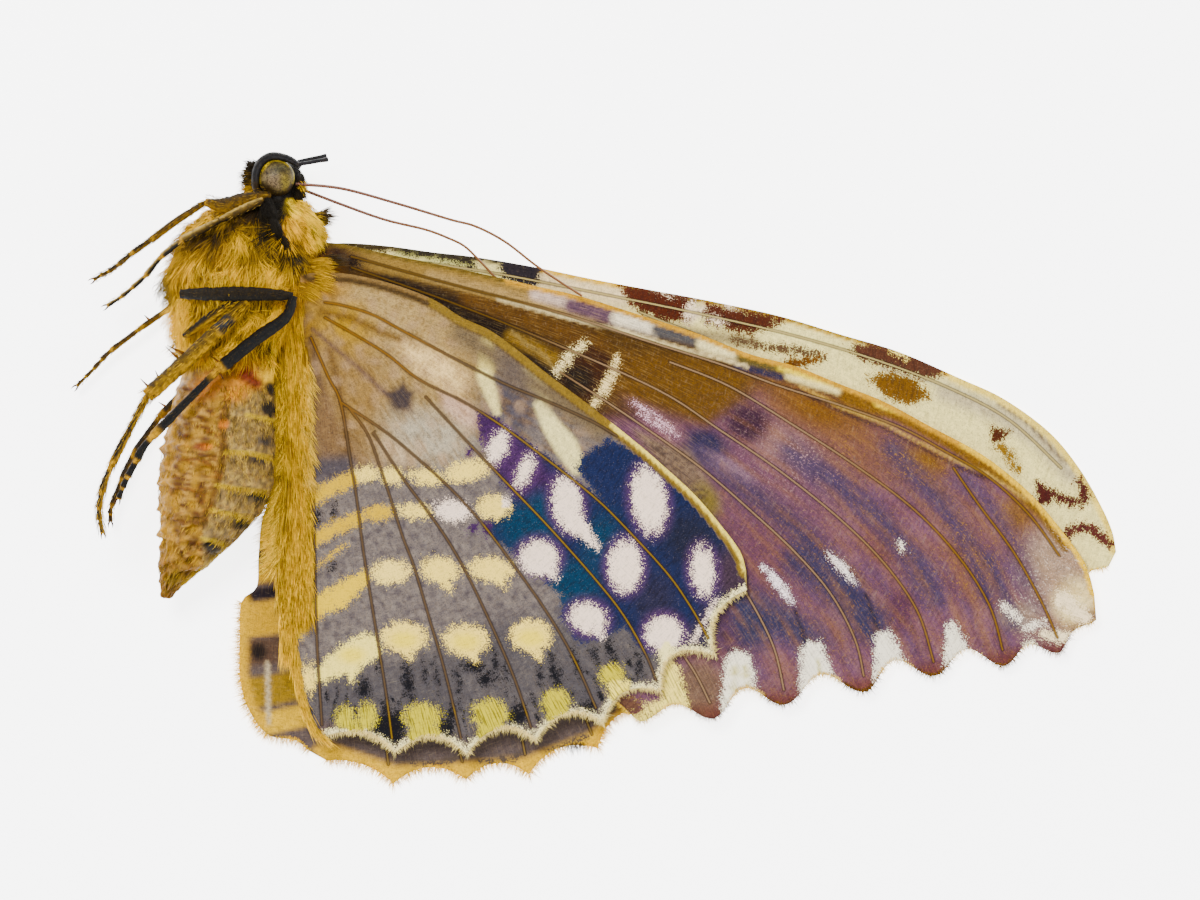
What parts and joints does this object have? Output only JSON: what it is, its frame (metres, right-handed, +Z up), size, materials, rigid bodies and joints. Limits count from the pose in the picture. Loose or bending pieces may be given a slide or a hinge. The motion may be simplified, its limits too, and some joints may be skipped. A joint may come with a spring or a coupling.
{
  "type": "preserved white witch moth with closed wings",
  "caption": "Life-size preserved moth lying on its side, wings closed over its back, with scalloped banded wings, furry body, long feelers and spiny legs.",
  "frame": {"origin": "on the floor, below the centre of the whole animal's box", "axes": "+X towards the wing tips and the back, +Y towards the head, +Z up, from the animal's right side that it lies on to its left side"},
  "size_m": [0.152, 0.092, 0.0181],
  "materials": {
    "wing_scales": "matte, powdery scales with a faint silky sheen",
    "body_coat": "long shaggy fur, matte",
    "abdomen_skin": "wrinkled skin with flat scales, satin",
    "leg_skin": "dark scales and short bristles, satin",
    "eye_surface": "glossy, mottled",
    "antenna_skin": "satin",
    "palp_scales": "matte black scales"
  },
  "bodies": {
    "root": {"abdomen": "abdomen_skin", "antenna_left": "antenna_skin", "antenna_right": "antenna_skin", "eye_left": "eye_surface", "eye_right": "eye_surface", "head": "body_coat", "leg_fore_left_foot": "leg_skin", "leg_fore_left_shin": "leg_skin", "leg_fore_left_thigh": "leg_skin", "leg_fore_right_foot": "leg_skin", "leg_fore_right_shin": "leg_skin", "leg_fore_right_thigh": "leg_skin", "leg_hind_left_foot": "leg_skin", "leg_hind_left_shin": "leg_skin", "leg_hind_left_thigh": "leg_skin", "leg_hind_right_foot": "leg_skin", "leg_hind_right_shin": "leg_skin", "leg_hind_right_thigh": "leg_skin", "leg_mid_left_foot": "leg_skin", "leg_mid_left_shin": "leg_skin", "leg_mid_left_thigh": "leg_skin", "leg_mid_right_foot": "leg_skin", "leg_mid_right_shin": "leg_skin", "leg_mid_right_thigh": "leg_skin", "palp_left": "palp_scales", "palp_right": "palp_scales", "thorax": "body_coat", "wing_fore_left": "wing_scales", "wing_fore_right": "wing_scales", "wing_hind_left": "wing_scales", "wing_hind_right": "wing_scales"}
  },
  "joints": []
}
